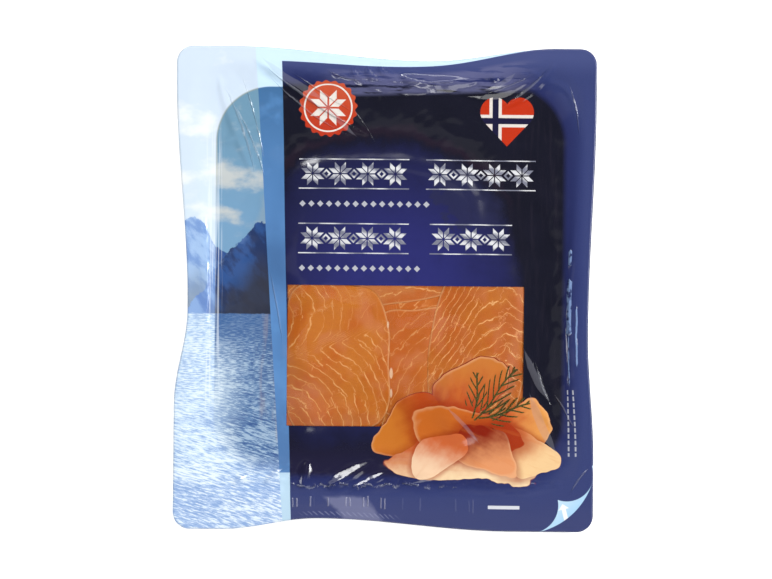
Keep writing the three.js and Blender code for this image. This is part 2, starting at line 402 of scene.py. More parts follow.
# %% Creases
CREASES = {
    "across_badge": (((-64, 110), (-40, 93), (-8, 73)), 3.4, 20),
    "shoulder_left": (((-80, 101), (-74, 80), (-62, 51)), 3.4, 20),
    "shoulder_band": (((-79, 68), (-64, 76), (-49, 85)), 4.0, 14),
    "head_hook": (((-16, 106), (-15, 101.5), (-10, 100.5)), 2.2, 30),
    "head_hook_two": (((-9, 106), (-8, 101.5), (-3, 100.5)), 2.4, 31),
    "head_hook_three": (((-3, 107), (-2, 103), (4, 101.5)), 2.2, 30),
    "head_tongue": (((6, 102), (22, 97.5), (44, 99.5)), 5.0, 29),
    "head_tongue_two": (((-14, 98), (4, 95), (22, 94)), 3.6, 27),
    "head_tongue_three": (((34, 94), (52, 94.5), (68, 100)), 4.2, 28),
    "head_right": (((80, 108), (69, 95), (55, 87)), 3.0, 27),
    "head_right_low": (((66, 101), (54, 96), (36, 92)), 1.8, 24),
    "head_right_rim": (((76, 99), (86, 95), (90, 82)), 1.8, 18),
    "right_low": (((68, -30), (73, -43), (79, -54)), 2.6, 20),
    "right_foot": (((70, -50), (76, -59), (84, -67)), 2.6, 20),
    "foot_tongue": (((-27, -95), (-17, -90), (-4, -82)), 4.6, 30),
    "foot_tongue_two": (((-16, -96), (-6, -92), (4, -87)), 3.2, 29),
    "foot_glint": (((-38.5, -95), (-37, -89), (-36, -82)), 4.2, 27),
    "foot_glint_two": (((-57, -94), (-50, -89), (-43, -86)), 3.4, 26),
    "foot_glint_three": (((-72, -94), (-64, -91), (-57, -90)), 2.8, 26),
    "foot_right": (((6, -94), (18, -90), (30, -90)), 3.0, 28),
    "left_edge": (((-80.5, 22), (-79.5, -5), (-81, -32)), 2.2, 12),
}

creased = np.zeros(film_x.shape)
for points, width, steep in CREASES.values():
    creased = np.maximum(creased, crease(points, width, steep))
print("creases up to", creased.max().round(2), "mm high")

# %% [markdown]
# The pleats stand in two rows, where the slack gathers at the head and at the foot. They are too
# many to place one by one, so their places, lengths and slopes are drawn at random, from a
# seeded source that gives the same pleats on every run.

# %% Pleats along the seal
PLEATS_AT_HEAD = 16
PLEATS_AT_FOOT = 26
pleats = np.zeros(film_x.shape)
for k in range(PLEATS_AT_HEAD):
    left = -28 + 6.4 * k + draw.uniform(-1.5, 1.5)
    high = 105.5 + draw.uniform(-2.2, 1.2) - 6.2 * float(bump(np.array(left), BOWS["top"]))
    lean = draw.uniform(3, 9)
    fall = draw.uniform(1, 4)
    points = ((left, high), (left + lean / 2, high - fall / 2 - 0.7), (left + lean, high - fall))
    pleats = np.maximum(pleats, crease(points, draw.uniform(1.2, 2.4), draw.uniform(20, 31)))
for k in range(PLEATS_AT_FOOT):
    left = -50 + 5.2 * k + draw.uniform(-1.2, 1.2)
    low = -93.6 + draw.uniform(-0.5, 0.5) + 3.0 * float(bump(np.array(left), BOWS["bottom"]))
    via = (left + 2.5, low + draw.uniform(0.4, 1.4))
    points = ((left, low), via, (left + 5.5, low + draw.uniform(-0.4, 0.6)))
    pleats = np.maximum(pleats, crease(points, draw.uniform(1.3, 1.9), draw.uniform(25, 32)))
print("pleats up to", pleats.max().round(2), "mm high")

# %% [markdown]
# The sheet is draped and softened, which sinks it a little into what it covers. So it is lifted
# again wherever it is too low, in a few gentle rounds. A faint random ruffle comes last, weakest
# where fish backs the film and stronger in the slack between the fish and the seal.

# %% Heights of the printed film
BACKED_BY_FISH = 1.5
LIFTS = 5
RUFFLES = (
    {"length": 11, "seed": 3, "fish": 0.025, "slack": 0.14, "seal": 0.09, "head": 0.14},
    {"length": 5, "seed": 4, "fish": 0.01, "slack": 0.05, "seal": 0.03, "head": 0.06},
)
over_fish = ease((ground - card_and_films) / BACKED_BY_FISH)
in_seal = ease((from_card - 9) / 3)
slack = (1 - over_fish) * (1 - in_seal)
at_head = ease((flat_y - 92) / 6) * (1 - in_seal)
taut = softened(drape(ground, FILM_BEND), 150)
for _ in range(LIFTS):
    taut += softened(1.7 * np.maximum(ground - taut, 0), 25)
ruffle = np.zeros(film_x.shape)
for one in RUFFLES:
    depth = one["fish"] * over_fish + one["slack"] * slack + one["seal"] * in_seal
    ruffle += waves(one["length"], one["seed"]) * (depth + one["head"] * at_head)
calm = ease((flat_x - 70) / 12) * ease((flat_y - 10) / 20)
ruffle *= 1 - 0.6 * calm
upper_film = taut + ruffle + np.maximum(creased, pleats)
upper_film = np.maximum(upper_film, softened(ground, 1)) + FILM_GAP + FILM_SKIN
print("the printed film reaches", upper_film.max().round(2), "mm up")

# %% [markdown]
# ## From heights to meshes
# The two films come off the lattice as grids, and a modifier gives them their thickness.


# %% Building the films
def add_mesh(name, points, faces, body="root"):
    mesh = bpy.data.meshes.new(name)
    mesh.from_pydata((np.asarray(points) / 1000).tolist(), [], faces)
    mesh.validate()
    mesh.shade_smooth()
    piece = bpy.data.objects.new(name, mesh)
    scene.collection.objects.link(piece)
    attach(piece, body)
    return piece


def film_piece(name, heights, thickness):
    numbers = np.arange(flat_x.size).reshape(flat_x.shape)
    corners = [numbers[:-1, :-1], numbers[:-1, 1:], numbers[1:, 1:], numbers[1:, :-1]]
    faces = np.stack([c[kept_cells] for c in corners], axis=1)
    used, faces = np.unique(faces, return_inverse=True)
    points = np.stack([film_x, film_y, heights], axis=-1).reshape(-1, 3)[used]
    piece = add_mesh(name, points, faces.reshape(-1, 4).tolist())
    skin = piece.modifiers.new("skin", "SOLIDIFY")
    skin.thickness = thickness / 1000
    skin.offset = -1
    return piece, used


printed_film, printed_used = film_piece("printed_film", upper_film, FILM_SKIN)
clear_film, _ = film_piece("clear_film", lower_film, FILM_SKIN)
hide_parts("upper_film")
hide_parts("lower_film")
print("each film has", len(clear_film.data.polygons), "faces")

# %% [markdown]
# A slice can't come off the lattice, because its cut edge would come out in steps. So it is made
# of rings that shrink from its outline to its middle, once for the upper face and once for the
# lower. How far in each point lies goes with the mesh, for the highlight painted along the cut.

# %% Building the slices
RINGS = 26
THINNEST = 0.02
DEPTH_AT_HUB = 40.0


def slice_piece(name, outline, under, size, cut):
    centre = np.array([cut.x, cut.y])
    shrink = 1 - (np.arange(RINGS) / RINGS) ** 1.5
    points = []
    depths = []
    for face in ("top", "bottom"):
        rings = shrink if face == "top" else shrink[1:]
        for r in rings:
            ring = centre + r * (outline - centre)
            low = read_height(under, ring[:, 0], ring[:, 1])
            depth = depth_inside(ring[:, 0], ring[:, 1], outline) if r < 1 else np.zeros(len(ring))
            thick = thickness_at(depth, size)
            roof = read_height(upper_film, ring[:, 0], ring[:, 1]) - FILM_SKIN - GAP
            if face == "top":
                z = np.minimum(low + thick, np.maximum(roof, low + THINNEST))
            else:
                z = low + 0.25 * np.maximum(size["edge"] - thick, 0)
            points.append(np.column_stack([ring, z]))
            depths.append(depth)
        z = points[-1][:, 2].mean()
        points.append(np.array([[*centre, z]]))
        depths.append(np.array([DEPTH_AT_HUB]))
    count = len(outline)
    around = [(k, (k + 1) % count) for k in range(count)]
    hub = RINGS * count
    upper = [n * count for n in range(RINGS)]
    lower = [0] + [hub + 1 + n * count for n in range(RINGS - 1)]
    lower_hub = hub + 1 + (RINGS - 1) * count
    faces = []
    for outer, inner in zip(upper, upper[1:]):
        faces += [(outer + a, outer + b, inner + b, inner + a) for a, b in around]
    faces += [(upper[-1] + a, upper[-1] + b, hub) for a, b in around]
    for outer, inner in zip(lower, lower[1:]):
        faces += [(outer + b, outer + a, inner + a, inner + b) for a, b in around]
    faces += [(lower[-1] + b, lower[-1] + a, lower_hub) for a, b in around]
    piece = add_mesh(name, np.concatenate(points), faces)
    from_cut = piece.data.attributes.new("from_cut", "FLOAT", "POINT")
    from_cut.data.foreach_set("value", np.concatenate(depths).astype(np.float32))
    return piece


slices = {}
for name, facts in laid.items():
    piece = slice_piece("cut_" + name, **facts)
    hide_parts(name)
    slices[name] = piece
print("made", len(slices), "slices of", len(piece.data.polygons), "faces each")

# %% [markdown]
# ## What the print knows
# Printed film looks different over the white of a table, over the black card and over fish. The
# film's mesh carries that along as attributes: where each point lay on the flat film before it
# was drawn in, how far it is from the card's edge, and whether fish is under it.


# %% Attributes on the printed film
KNOWN = {
    "print_x": flat_x,
    "print_y": flat_y,
    "past_card": outside(film_x, film_y, CARD),
    "fish": over_fish,
    "glow": softened(over_fish, 260),
}
for name, values in KNOWN.items():
    layer = printed_film.data.attributes.new(name, "FLOAT", "POINT")
    layer.data.foreach_set("value", values.reshape(-1)[printed_used].astype(np.float32))
print("attributes:", list(KNOWN))

# %% [markdown]
# ## A shorthand for finishes
# A finish is a network of nodes. Written out node by node it is hard to read, so a number in a
# shader is wrapped in a small class here, and ordinary arithmetic on it adds the Math nodes.


# %% Numbers in a shader
class Number:
    """A number that varies over a surface. Arithmetic on it adds Math nodes."""

    def __init__(self, finish, socket):
        self.finish = finish
        self.socket = socket

    def __add__(self, other):
        return self.finish.math("ADD", self, other)

    def __radd__(self, other):
        return self.finish.math("ADD", other, self)

    def __sub__(self, other):
        return self.finish.math("SUBTRACT", self, other)

    def __rsub__(self, other):
        return self.finish.math("SUBTRACT", other, self)

    def __mul__(self, other):
        return self.finish.math("MULTIPLY", self, other)

    def __rmul__(self, other):
        return self.finish.math("MULTIPLY", other, self)

    def __truediv__(self, other):
        return self.finish.math("DIVIDE", self, other)

    def __abs__(self):
        return self.finish.math("ABSOLUTE", self)


print("arithmetic that adds nodes: + - * / and abs")

# %% [markdown]
# A finish gathers the nodes of one material. One method makes any node, and the others are
# short names for what comes up often: a smooth step, a noise, a mix of two colours, a surface.


# %% Finishes
class Finish:
    """A material being built, with the sockets and nodes that its recipe asks for."""

    def __init__(self, name):
        self.material = bpy.data.materials.new(name)
        self.material.use_nodes = True
        self.tree = self.material.node_tree
        self.tree.nodes.clear()
        self.output = self.tree.nodes.new("ShaderNodeOutputMaterial")

    def node(self, kind, settings=None, inputs=None, result=0):
        made = self.tree.nodes.new(kind)
        for setting, value in (settings or {}).items():
            setattr(made, setting, value)
        for place, value in (inputs or {}).items():
            socket = made.inputs[place]
            if isinstance(value, Number):
                self.tree.links.new(value.socket, socket)
            elif isinstance(value, bpy.types.NodeSocket):
                self.tree.links.new(value, socket)
            else:
                socket.default_value = value
        return made.outputs[result]

    def math(self, operation, *values):
        socket = self.node("ShaderNodeMath", {"operation": operation}, dict(enumerate(values)))
        return Number(self, socket)

    def least(self, a, b):
        return self.math("MINIMUM", a, b)

    def most(self, a, b):
        return self.math("MAXIMUM", a, b)

    def root_of_squares(self, a, b):
        return self.math("SQRT", a * a + b * b)

    def step(self, value, low, high):
        """0 at low, 1 at high, and a smooth rise between."""
        settings = {"interpolation_type": "SMOOTHSTEP", "clamp": False}
        inputs = {"Value": value, "From Min": low, "From Max": high}
        return Number(self, self.node("ShaderNodeMapRange", settings, inputs))

    def attribute(self, name):
        return Number(self, self.node("ShaderNodeAttribute", {"attribute_name": name}, result="Fac"))

    def vector(self, x, y, z=0.0):
        return self.node("ShaderNodeCombineXYZ", inputs={"X": x, "Y": y, "Z": z})

    def stretched(self, across, along, seed=0.0, turn=0.0):
        """Position in millimetres times across and along, on axes turned by so many degrees."""
        inputs = {
            "Vector": self.node("ShaderNodeNewGeometry", result="Position"),
            "Location": (0, 0, -seed),
            "Rotation": (0, 0, math.radians(turn)),
            "Scale": (0.001 / across, 0.001 / along, 1),
        }
        return self.node("ShaderNodeMapping", {"vector_type": "TEXTURE"}, inputs)

    def noise(self, place, scale, detail=3.0, rough=0.5):
        inputs = {"Vector": place, "Scale": scale, "Detail": detail, "Roughness": rough}
        return Number(self, self.node("ShaderNodeTexNoise", inputs=inputs))

    def paint(self, mask, under, over):
        """The colour over where the mask is 1, and the colour under where it is 0."""
        inputs = {0: mask, 6: under, 7: over}
        return self.node("ShaderNodeMix", {"data_type": "RGBA"}, inputs, result=2)

    def layers(self, colour, *layers):
        """A colour with others over it: each layer is a mask and the colour laid on there."""
        for mask, over in layers:
            colour = self.paint(mask, colour, over)
        return colour

    def relief(self, height, distance):
        inputs = {"Strength": 1.0, "Distance": distance, "Height": height}
        return self.node("ShaderNodeBump", inputs=inputs)

    def gloss(self, colour, roughness, **others):
        inputs = {"Base Color": colour, "Roughness": roughness, **others}
        return self.node("ShaderNodeBsdfPrincipled", inputs=inputs)

    def blend(self, share, first, second):
        return self.node("ShaderNodeMixShader", inputs={0: share, 1: first, 2: second})

    def cover(self, mesh, surface):
        """Ends the recipe with this surface, and puts the material on a mesh."""
        self.tree.links.new(surface, self.output.inputs["Surface"])
        mesh.materials.append(self.material)


def shade(red, green, blue):
    """A colour as a screen shows it, 0 to 255, as the light that it stands for."""
    parts = [c / 255 for c in (red, green, blue)]
    light = [c / 12.92 if c <= 0.04045 else ((c + 0.055) / 1.055) ** 2.4 for c in parts]
    return (*light, 1.0)


print("middle grey on the screen stands for", round(shade(128, 128, 128)[0], 2), "of full light")

# %% [markdown]
# ## Floor, light and camera first
# With the light settled, every colour can be judged at once. The pack lies on white paper. Paper
# could be one plain colour, but a trace of grain keeps it from looking like nothing at all.

# %% Floor
HALF = 3
floor_mesh = bpy.data.meshes.new("floor")
floor_corners = [(-HALF, -HALF, 0), (HALF, -HALF, 0), (HALF, HALF, 0), (-HALF, HALF, 0)]
floor_mesh.from_pydata(floor_corners, [], [(0, 1, 2, 3)])
floor = bpy.data.objects.new("floor", floor_mesh)
scene.collection.objects.link(floor)
paper = Finish("white_paper")
fibre = paper.noise(paper.node("ShaderNodeTexCoord", result="Object"), 900.0)
white = paper.paint(fibre, shade(246, 246, 246), shade(252, 252, 252))
paper.cover(floor_mesh, paper.gloss(white, 0.9))
print("paper", 2 * HALF, "m wide")

# %% [markdown]
# Product shots on white are lit by one broad source overhead. A mirror-flat film would show it
# as a grey veil, so it is left out of reflections, as a photographer's polariser would leave it
# out. The streaks on the film come from low boxes on all sides: seen from above, only the
# slopes of creases and walls mirror them. Two small, bright ones make the sparks.


# %% Lights
OVERHEAD = 3.05
ROOM = 0.15


def softbox(name, place, width, height, brightness, mirrored=True):
    """A rectangle of light aimed at the pack."""
    lamp = bpy.data.lights.new(name, "AREA")
    lamp.shape = "RECTANGLE"
    lamp.size = width
    lamp.size_y = height
    lamp.energy = brightness * math.pi * width * height
    box = bpy.data.objects.new(name, lamp)
    box.location = place
    box.rotation_euler = (-Vector(place)).to_track_quat("-Z", "Y").to_euler()
    box.visible_glossy = mirrored
    scene.collection.objects.link(box)
    return box


softbox("overhead", (0, 0, 1.5), 1.6, 1.6, OVERHEAD, mirrored=False)
softbox("head_panel", (0, 0.55, 1.5), 1.0, 0.3, 0.3)
softbox("side_panel", (-0.6, -0.1, 1.5), 0.3, 0.9, 0.3)
softbox("head_strip", (0.05, 1.15, 0.72), 0.9, 0.16, 6)
softbox("head_sheet", (0.05, 1.17, 0.72), 1.1, 0.36, 2.6)
softbox("foot_box", (-0.25, -1.15, 0.72), 0.4, 0.3, 9)
softbox("foot_panel", (0.45, -1.15, 0.72), 0.9, 0.45, 4.2)
softbox("left_strip", (-1.1, -0.25, 0.6), 0.6, 0.2, 8)
softbox("right_strip", (1.1, 0.0, 0.69), 0.8, 0.36, 9)
softbox("corner_right", (0.8, 0.8, 0.7), 0.5, 0.35, 2.5)
softbox("corner_left", (-0.8, 0.8, 0.7), 0.5, 0.25, 2.5)
softbox("spark_right", (1.08, 0.28, 0.68), 0.36, 0.3, 24)
softbox("spark_left", (-0.5, 0.98, 0.69), 0.3, 0.26, 22)

world = bpy.data.worlds.new("studio")
scene.world = world
world.use_nodes = True
background = world.node_tree.nodes["Background"]
background.inputs["Color"].default_value = (1, 1, 1, 1)
background.inputs["Strength"].default_value = ROOM
world.cycles_visibility.glossy = False
scene.view_settings.view_transform = "Standard"
print("lights:", [o.name for o in scene.objects if o.type == "LIGHT"])

# %% [markdown]
# The photograph looks straight down and shows no convergence, so the camera is far off with a
# long lens. Its distance follows from the size of a pixel on the pack.

# %% Camera
PIXEL_MM = 0.476
FRAME_PIXELS = 772
ROLL = math.radians(0.55)
AIM = Vector((0.0005, -0.0003, 0.005))
lens = bpy.data.cameras.new("camera")
lens.lens = 120
lens.sensor_width = 36
distance = FRAME_PIXELS * PIXEL_MM / 1000 * lens.lens / lens.sensor_width
camera = bpy.data.objects.new("camera", lens)
camera.location = AIM + Vector((0, 0, distance))
camera.rotation_euler = (0, 0, ROLL)
scene.collection.objects.link(camera)
scene.camera = camera
print("camera", round(distance, 2), "m above the pack")

# %% [markdown]
# ## Painting the print
# The print is painted in layers, back to front, as a printer lays inks: a pale seascape down
# the left side, a plain blue strip, the dark blue panel with its ornaments, and the picture of
# folded fish that laps over the window. Every shape is a formula of where the point lay on the
# flat film, so no picture file is needed and the edges stay sharp at any size. The lamps give
# more light than white paper needs to look white, so every ink is darker by as much.

# %% Where the ink is
LIGHT = 1.95
LIGHT_SEASCAPE = 1.72


def ink(red, green, blue, light=LIGHT):
    """The ink that comes out as this screen colour under the scene's light."""
    return tuple(part / light for part in shade(red, green, blue)[:3]) + (1.0,)


film = Finish("printed_film")
paint, layers, step, noise = film.paint, film.layers, film.step, film.noise
stretched, root_of_squares = film.stretched, film.root_of_squares
most, least = film.most, film.least
x = film.attribute("print_x")
y = film.attribute("print_y")
past_card = film.attribute("past_card")
fish = film.attribute("fish")
glow = film.attribute("glow")
spot = stretched(1, 1)

grain = noise(spot, 1.6, 2.0)
blotch = noise(spot, 0.06, 3.0)
wander = noise(stretched(1, 1, 7), 0.11, 4.0, 0.62) - 0.5
over_card = step(past_card, 0.35, -0.35)
card_rim = step(abs(past_card + 0.1), 0.75, 0.1)
fish_mask = step(fish + wander * 0.5, 0.35, 0.75)

strip_edge = -55.2 - 0.065 * y
panel_edge = -47 - 0.028 * y
panel_head = 109 + 0.05 * (x + 49)
on_strip = step(x - strip_edge, -0.15, 0.15)
on_panel = step(x - panel_edge, -0.15, 0.15) * step(y - panel_head, 0.15, -0.15)


def report(what):
    print(what, "done, with", len(film.tree.nodes), "nodes so far")


report("masks")

# %% [markdown]
# ## The seascape
# A generic fjord: sky with a few clouds, two ranges one behind the other, and rippled water.
# Each layer comes in two tones, pale where the film lies over the white of the table and deep
# over the card. The clouds are noise that passes a threshold, which is lower in three banks.


# %% Sky and clouds
def two_tone(pale, deep, mask=over_card):
    """The first colour where the mask is 0, as beside the card, and the second where it is 1."""
    return paint(mask, ink(*pale, LIGHT_SEASCAPE), ink(*deep, LIGHT_SEASCAPE))


low_sky = step(y, 90, 24)
puff = noise(stretched(0.62, 1, 4), 0.12, 5.0, 0.52)
banks = most(step(abs(y - 52), 13, 1), step(abs(y - 35), 7, 1) * step(x, -66, -76))
banks = most(banks, step(abs(y - 78), 12, 2) * step(x, -76, -88))
cloud = step(puff + 0.26 * banks, 0.58, 0.9)
tint = fish_mask * over_card
sky = layers(
    two_tone((204, 219, 236), (108, 147, 172)),
    (low_sky, two_tone((208, 224, 240), (115, 155, 188))),
    (cloud, two_tone((232, 238, 243), (188, 194, 194))),
    (tint * (0.5 - 0.3 * low_sky), ink(172, 174, 162, LIGHT_SEASCAPE)),
)
report("sky")

# %% [markdown]
# A mountain could be drawn as an outline of many points. Here its ridge is a slope with a small
# zigzag and some noise on it, which gives peaks at no cost, and slanting noise splits the rock
# into lit and shaded facets.


# %% Ranges
def zigzag(across, width, shift):
    """Peaks of height 1 and valleys of 0, one every width."""
    turned = film.math("PINGPONG", across + shift, width / 2)
    return turned / (width / 2)


rough = noise(spot, 0.16, 4.0, 0.6)
left_ridge = 34 - 1.05 * abs(x + 95) + 3 * zigzag(x, 13.0, 3.0) + 7 * (rough - 0.5)
right_ridge = 31 - 1.0 * most(-59 - x, 0.0) + 2.5 * zigzag(x, 11.0, 2.0) + 8 * (rough - 0.5)
on_left = step(y - left_ridge, 0.4, -0.4)
on_right = step(y - right_ridge, 0.3, -0.3)
facet = noise(stretched(1.5, 0.64, 11, turn=37), 0.085, 6.0, 0.6)
facet = step(facet, 0.42, 0.58)
left_rock = layers(
    two_tone((120, 154, 208), (50, 80, 136)),
    (facet, two_tone((162, 192, 230), (70, 102, 156))),
    (step(y - left_ridge, -18, -42), two_tone((134, 153, 176), (60, 62, 72))),
)
snow = step(y - right_ridge, -5, -0.5) * step(rough, 0.52, 0.62)
right_rock = layers(
    two_tone((106, 138, 196), (42, 58, 98)),
    (facet, two_tone((136, 168, 216), (50, 82, 138))),
    (snow * 0.35, two_tone((176, 204, 236), (104, 136, 186))),
    (step(y - right_ridge, -10, -30) * 0.9, two_tone((128, 146, 172), (48, 51, 64))),
)
picture = layers(sky, (on_left, left_rock), (on_right, right_rock))
report("ranges")

# %% [markdown]
# The water is noise stretched sideways, because ripples seen at a low angle are flat. One noise
# is fine and regular, for the far shore, and gives way to one that is coarse and slanting near
# the foot. Crests and troughs are what lies above and below the middle value.

# %% Water
shore = -12.5 + 1.6 * (noise(stretched(1, 0.001, 5), 0.2, 2.0) - 0.5)
on_water = step(y - shore, 0.3, -0.3)
nearness = step(y, -20, -85)
far_chop = noise(stretched(0.34, 2.1, 2), 1.0, 3.0, 0.6)
near_chop = noise(stretched(0.2, 1.25, 5, turn=-16), 1.0, 5.0, 0.68)
swell = noise(stretched(0.03, 0.12, 1), 1.0, 2.0)
ripple = far_chop * (1 - nearness) + near_chop * nearness + 0.3 * (swell - 0.5)
crest = step(ripple, 0.49, 0.58)
trough = step(ripple, 0.49, 0.41)
deep_water = over_card * (1 - nearness) + nearness * step(past_card, 3, -9)
shallow = step(x + 6 * wander, -64, -80) * step(y - shore, -2, -30)
milky = layers(
    ink(186, 208, 226, LIGHT_SEASCAPE),
    (crest, ink(228, 240, 246, LIGHT_SEASCAPE)),
    (trough * 0.6, ink(128, 160, 204, LIGHT_SEASCAPE)),
)
shaded = step(y - shore, -26, -2) * 0.75 * (0.25 + 0.75 * over_card)
water = layers(
    two_tone((194, 216, 239), (96, 128, 170), deep_water),
    (step(y, -78, -100), two_tone((160, 186, 224), (96, 128, 170), deep_water)),
    (crest * 0.85, two_tone((232, 243, 250), (166, 190, 212), deep_water)),
    (trough * (0.6 + 0.2 * nearness), two_tone((128, 160, 208), (50, 78, 134), deep_water)),
    (shallow * over_card * 0.6, milky),
    (shaded, two_tone((160, 192, 226), (64, 98, 148))),
)
streaks = step(noise(stretched(0.3, 0.03, 8), 1.0, 3.0), 0.5, 0.66) * tint * on_water
picture = layers(
    picture,
    (on_water, water),
    (streaks * 0.22, ink(176, 150, 134, LIGHT_SEASCAPE)),
)
report("water")

# %% [markdown]
# A plain strip divides the seascape from the panel. Along the card's left edge the film drops
# to the rim, and on that wall a pale line broken into streaks is painted, as a painted reflection of
# the light it catches. The card's gold rim shows through the film at the head.

# %% The plain strip
strip = layers(
    two_tone((203, 229, 249), (64, 106, 150)),
    (step(y, 115, 10), two_tone((190, 218, 244), (92, 138, 194))),
    (step(y, -40, -84), two_tone((180, 208, 228), (80, 118, 168))),
    (step(blotch, 0.5, 0.62) * 0.3, two_tone((196, 222, 246), (104, 156, 214))),
    (step(abs(y - 12), 24, 3) * 0.75, two_tone((190, 218, 244), (74, 112, 162))),
)
# A painted reflection: pale vertical streaks on the wall the film makes down the card's left edge.
sheen_breaks = step(noise(stretched(1.1, 0.018, 6), 1.0, 3.0), 0.5, 0.6)
wall_sheen = step(abs(x + 82), 5, 3) * step(abs(y - 8), 80, 50) * sheen_breaks
gilt = card_rim * step(y, 20, 70) * (1 - on_strip)
picture = layers(
    picture,
    (wall_sheen * 0.4, ink(240, 246, 252, LIGHT_SEASCAPE)),
    (on_strip, strip),
    (gilt * 0.4, ink(168, 166, 132)),
)
report("strip")

# %% [markdown]
# ## The dark panel
# Over the card the ink is nearly black. Over fish it glows indigo, strongest in the middle of
# the pack, and where the film lies dry on the fish it is a little greyer, a painted reflection. Over
# the rim it is a plain mid blue with the fine mottle of a heat seal. Painted reflections lie on top:
# grey streaks over the card at the right, a plum band at the fish's upper edge, a pale patch in the
# rim at the foot, and a lavender sheen at the head.

# %% Panel colours
middle = step(root_of_squares((x - 6) / 66, (y + 2) / 70), 1.05, 0.2)
slanting = abs(x + 17 + 0.6 * (y + 103) + 7 * wander)
# A pale patch in the rim at the foot: a painted reflection of a lamp on the flatter film there.
sheen_patch = step(slanting, 11, 7) * step(y + 4 * wander, -98, -100.5) * step(past_card, 8, 10)
hatch = step(film.math("PINGPONG", x + 0.9 * y + 3 * wander, 1.3), 0.55, 0.3)
hatch = hatch * step(abs(y + 112), 1.7, 0.8) * step(abs(x + 16), 26, 16)
rim_blue = layers(
    ink(50, 60, 110),
    (grain, ink(60, 70, 122)),
    (step(past_card, 12, 1), ink(42, 48, 96)),
    (step(y, -92, -112) * 0.6, ink(66, 72, 116)),
    # painted reflection patch at the foot
    (sheen_patch * 0.42, ink(150, 152, 184)),
    (hatch * 0.3, ink(160, 164, 196)),
    # Lighter in the rim at the head: a painted sheen.
    (step(y, 100, 112) * 0.6, ink(76, 86, 138)),
)
# Faint grey streaks over the card towards the right: painted reflections of the tented film there.
upright_sheen = noise(stretched(0.35, 0.03, 14), 1.0, 4.0, 0.6)
black_card = layers(
    ink(23, 24, 34),
    (blotch, ink(32, 32, 47)),
    (step(y, -60, -90), ink(37, 35, 62)),
    (step(upright_sheen, 0.48, 0.7) * step(x, 40, 70) * 0.35, ink(46, 42, 54)),
)
# Greyer where the film lies dry on the fish: a painted reflection.
dry_sheen = step(root_of_squares((x - 43 + 26 * wander) / 20, (y - 50 + 30 * wander) / 22), 1.05, 0.9)
indigo = layers(ink(36, 38, 74), (middle, ink(47, 49, 113)), (dry_sheen * 0.6, ink(46, 48, 76)))
seen_fish = step(glow + 0.4 * wander, 0.6, 1.02)
# A plum band along the fish's upper edge: a painted reflection off the film's slope there.
plum_sheen = step(abs(glow + 0.6 * wander - 0.55), 0.2, 0.0) * step(y, 30, 60)
inside = layers(black_card, (seen_fish, indigo), (plum_sheen * 0.3, ink(58, 40, 56)))
# A lavender band at the head, broken up by long waves: a painted reflection.
long_waves = noise(stretched(0.05, 0.4, 12, turn=-2), 1.0, 4.0, 0.6)
head_sheen = step(abs(y - 100.5 - 0.03 * x), 9, 6.5) * step(abs(x - 20), 56, 34)
head_sheen = head_sheen * step(long_waves, 0.38, 0.5)
panel = layers(
    rim_blue,
    (step(past_card, 3.2, -0.6), inside),
    (head_sheen * 0.7, ink(104, 106, 146)),
)
report("panel colours")

# %% [markdown]
# ## Ornaments in silver
# The panel's bands are traditional knitted motifs: eight-petalled stars and lozenges. Folding
# the plane over its axes and its diagonal leaves one petal to describe, and folding it again
# along the band repeats the star. Light and dark bands across the silver are a painted reflection
# that stands in for the shine of the foil.


# %% Stars and lozenges
def eight_petals(u, v, size):
    """1 inside an eight-petalled star of this half-width."""
    wide = most(abs(u), abs(v)) / size
    narrow = least(abs(u), abs(v)) / size
    lean = wide - narrow
    room = least(
        least(narrow - 0.05, 0.44 - narrow),
        least(lean - 0.05, 0.5 - lean),
    )
    return step(room, -0.02, 0.02)


BAND_HEIGHT = 14.0
STAR_PITCH = 13.1
BANDS = ((-41.4, 11.0, 54.5), (19.0, 71.4, 54.5), (-41.4, 11.0, 23.8), (21.0, 60.3, 23.8))


def band_of_stars(left, right, centre):
    """A row of stars with a small lozenge between each two, and a fine rule above and below."""
    across = film.math("PINGPONG", x - (left + STAR_PITCH / 2), STAR_PITCH / 2)
    along = y - centre
    star = eight_petals(across, along, BAND_HEIGHT * 0.42)
    to_gap = STAR_PITCH / 2 - across
    lozenge = step(to_gap + abs(along), BAND_HEIGHT * 0.17, BAND_HEIGHT * 0.14)
    hollow = step(to_gap + abs(along), BAND_HEIGHT * 0.07, BAND_HEIGHT * 0.09)
    half = (right - left) / 2
    lozenge = lozenge * hollow * step(abs(x - (left + right) / 2), half - 3, half - 4)
    rule = step(abs(abs(along) - BAND_HEIGHT * 0.5), 0.32, 0.2)
    shape = most(most(star, lozenge), rule)
    return shape * step(x, left - 0.1, left + 0.1) * step(x, right + 0.1, right - 0.1)


bands = reduce(most, (band_of_stars(*band) for band in BANDS))
FOIL_PITCH = 3.1
# Slanting light and dark bands on the silver: a painted reflection.
sheen_run = film.math("PINGPONG", y + x * 0.35 + 6 * (rough - 0.5), FOIL_PITCH) / FOIL_PITCH
foil_sheen = paint(step(sheen_run, 0.2, 0.9), ink(128, 130, 146), ink(226, 227, 230))
LOZENGE_PITCH = 4.2


def lozenges(left, count, centre):
    """A fine row of small lozenges."""
    across = film.math("PINGPONG", x - left, LOZENGE_PITCH / 2)
    diamond = step(across / 1.5 + abs(y - centre) / 1.5, 1.05, 0.95)
    row_middle = left + (count - 1) * LOZENGE_PITCH / 2
    reach = count * LOZENGE_PITCH / 2
    return diamond * step(abs(x - row_middle), reach, reach - 0.2)


small = most(lozenges(-39.5, 15, 40.2), lozenges(-39.5, 14, 9.6))
panel = layers(panel, (bands, foil_sheen), (small, ink(186, 187, 196)))
report("ornaments")

